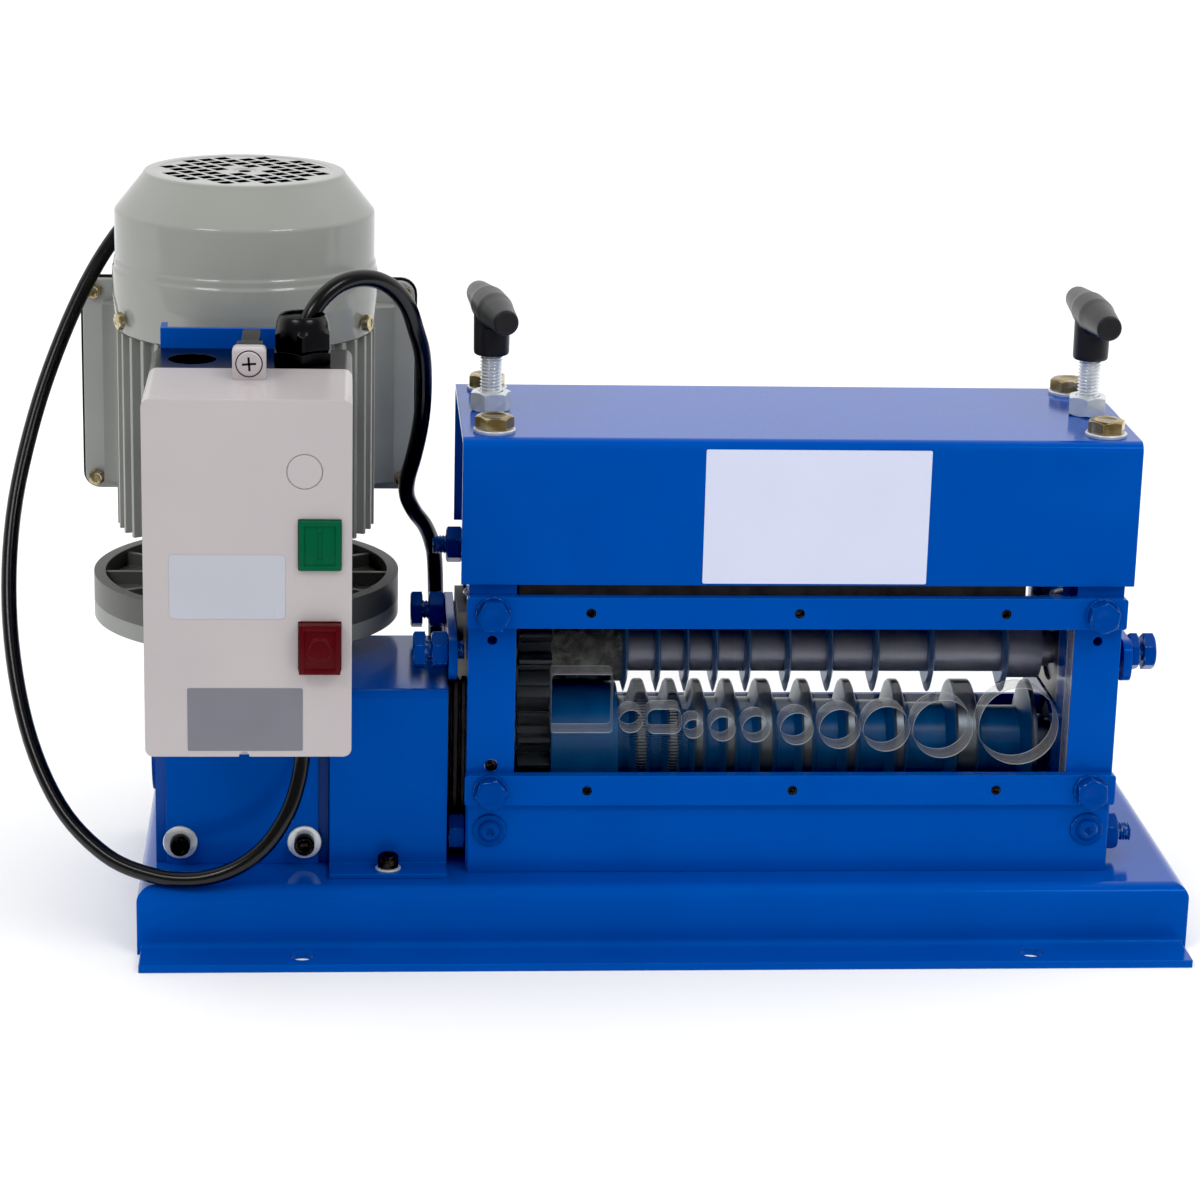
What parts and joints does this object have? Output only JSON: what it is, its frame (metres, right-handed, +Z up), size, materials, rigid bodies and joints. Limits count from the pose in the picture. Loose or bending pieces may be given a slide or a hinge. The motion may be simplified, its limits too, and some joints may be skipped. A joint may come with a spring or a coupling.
{
  "type": "wire stripping machine",
  "caption": "Electric bench wire stripper: blue frame with disc blades over a grooved feed roller, clear guard, upright motor and box starter.",
  "frame": {"origin": "centre of the four foot bolt holes, on the surface that the tray stands on", "axes": "+X along the machine to the end away from the motor, +Y from the feed side to the back, +Z up"},
  "size_m": [0.6091, 0.4247, 0.3758],
  "materials": {
    "blue_paint": "gloss blue enamel with a light orange peel",
    "clear_acrylic": "clear cast acrylic with polished faces",
    "zinc_steel": "bright zinc plate",
    "yellow_zinc": "yellow passivated zinc plate",
    "ground_steel": "turned and ground steel",
    "dark_steel": "blackened steel",
    "black_oxide": "black oxide",
    "grey_casting": "grey enamel on an aluminium casting",
    "grey_sheet": "grey enamel on pressed sheet",
    "bronze": "machined bronze",
    "black_plastic": "moulded black plastic",
    "white_plastic": "moulded off-white plastic",
    "green_plastic": "moulded green plastic",
    "red_plastic": "moulded red plastic",
    "cord_rubber": "black cord sheath"
  },
  "bodies": {
    "frame": {"base_tray": "blue_paint", "left_side_plate": "blue_paint", "right_side_plate": "blue_paint", "front_top_bar": "blue_paint", "front_bottom_bar": "blue_paint", "guard_panel": "clear_acrylic", "front_panel": "blue_paint", "back_panel": "blue_paint", "tie_rods": "blue_paint", "hex_nuts": "blue_paint", "lock_nuts": "zinc_steel", "frame_bolts": "blue_paint", "panel_screws": "black_oxide", "plain_washers": "blue_paint", "top_cover": "blue_paint", "cover_bolts": "yellow_zinc", "bearing_straps": "blue_paint", "shaft_bearings": "ground_steel", "gearbox_housing": "grey_casting", "motor_flange": "grey_casting", "flange_bolts": "zinc_steel", "motor_housing": "grey_casting", "fan_cover": "grey_sheet", "motor_screws": "yellow_zinc", "terminal_box": "grey_sheet", "drive_cover": "blue_paint", "socket_screws": "black_oxide", "bracket_plate": "blue_paint", "starter_base": "black_plastic", "starter_cover": "white_plastic", "cover_screw": "white_plastic", "contactor": "black_plastic", "cable_glands": "black_plastic", "gland_nuts": "black_plastic", "motor_lead": "cord_rubber", "power_cord": "cord_rubber", "power_cord_coil": "cord_rubber", "mains_plug": "cord_rubber"},
    "carriage": {"bearing_blocks": "dark_steel", "blade_bearings": "ground_steel", "blade_springs": "dark_steel"},
    "blade_arbor": {"blade_shaft": "ground_steel", "disc_blades": "ground_steel", "blade_spacers": "ground_steel", "knurled_roller": "dark_steel", "upper_gear": "dark_steel"},
    "feed_drive": {"feed_shaft": "ground_steel", "feed_roller": "ground_steel", "lower_gear": "dark_steel", "coupling": "ground_steel", "worm_wheel": "bronze"},
    "motor_shaft": {"worm": "ground_steel", "motor_rotor": "ground_steel", "cooling_fan": "black_plastic"},
    "left_adjuster": {"left_handle": "black_plastic", "left_stud": "zinc_steel"},
    "right_adjuster": {"right_handle": "black_plastic", "right_stud": "zinc_steel"},
    "start_push": {"start_button": "green_plastic"},
    "stop_push": {"stop_button": "red_plastic"}
  },
  "joints": [
    {"name": "blade_height", "type": "slide", "parent": "frame", "child": "carriage", "axis": [0, 0, 1], "range_m": [-0.002, 0.004], "deforming": ["blade_springs"]},
    {"name": "left_handle_turn", "type": "hinge", "parent": "carriage", "child": "left_adjuster", "pos_m": [-0.0905, -0.006, 0.3], "axis": [0, 0, 1], "range_deg": [-481, 961]},
    {"name": "right_handle_turn", "type": "hinge", "parent": "carriage", "child": "right_adjuster", "pos_m": [0.2175, -0.006, 0.3], "axis": [0, 0, 1], "range_deg": [-481, 961]},
    {"name": "blade_spin", "type": "hinge", "parent": "carriage", "child": "blade_arbor", "pos_m": [0, -0.006, 0.1365], "axis": [1, 0, 0], "continuous": true},
    {"name": "feed_spin", "type": "hinge", "parent": "frame", "child": "feed_drive", "pos_m": [0, -0.006, 0.0865], "axis": [1, 0, 0], "continuous": true},
    {"name": "motor_spin", "type": "hinge", "parent": "frame", "child": "motor_shaft", "pos_m": [-0.216, 0.044, 0.2], "axis": [0, 0, 1], "continuous": true},
    {"name": "start_press", "type": "slide", "parent": "frame", "child": "start_push", "axis": [0, 1, 0], "range_m": [0, 0.003], "stiffness_N_per_m": 400, "springref_m": -0.001},
    {"name": "stop_press", "type": "slide", "parent": "frame", "child": "stop_push", "axis": [0, 1, 0], "range_m": [0, 0.003], "stiffness_N_per_m": 400, "springref_m": -0.001}
  ],
  "couplings": [
    {"joint": "left_handle_turn", "follows": "blade_height", "rad_per_m": 4188.8},
    {"joint": "right_handle_turn", "follows": "blade_height", "rad_per_m": 4188.8},
    {"joint": "feed_spin", "follows": "motor_spin", "ratio": 0.033333},
    {"joint": "blade_spin", "follows": "motor_spin", "ratio": -0.033333}
  ]
}
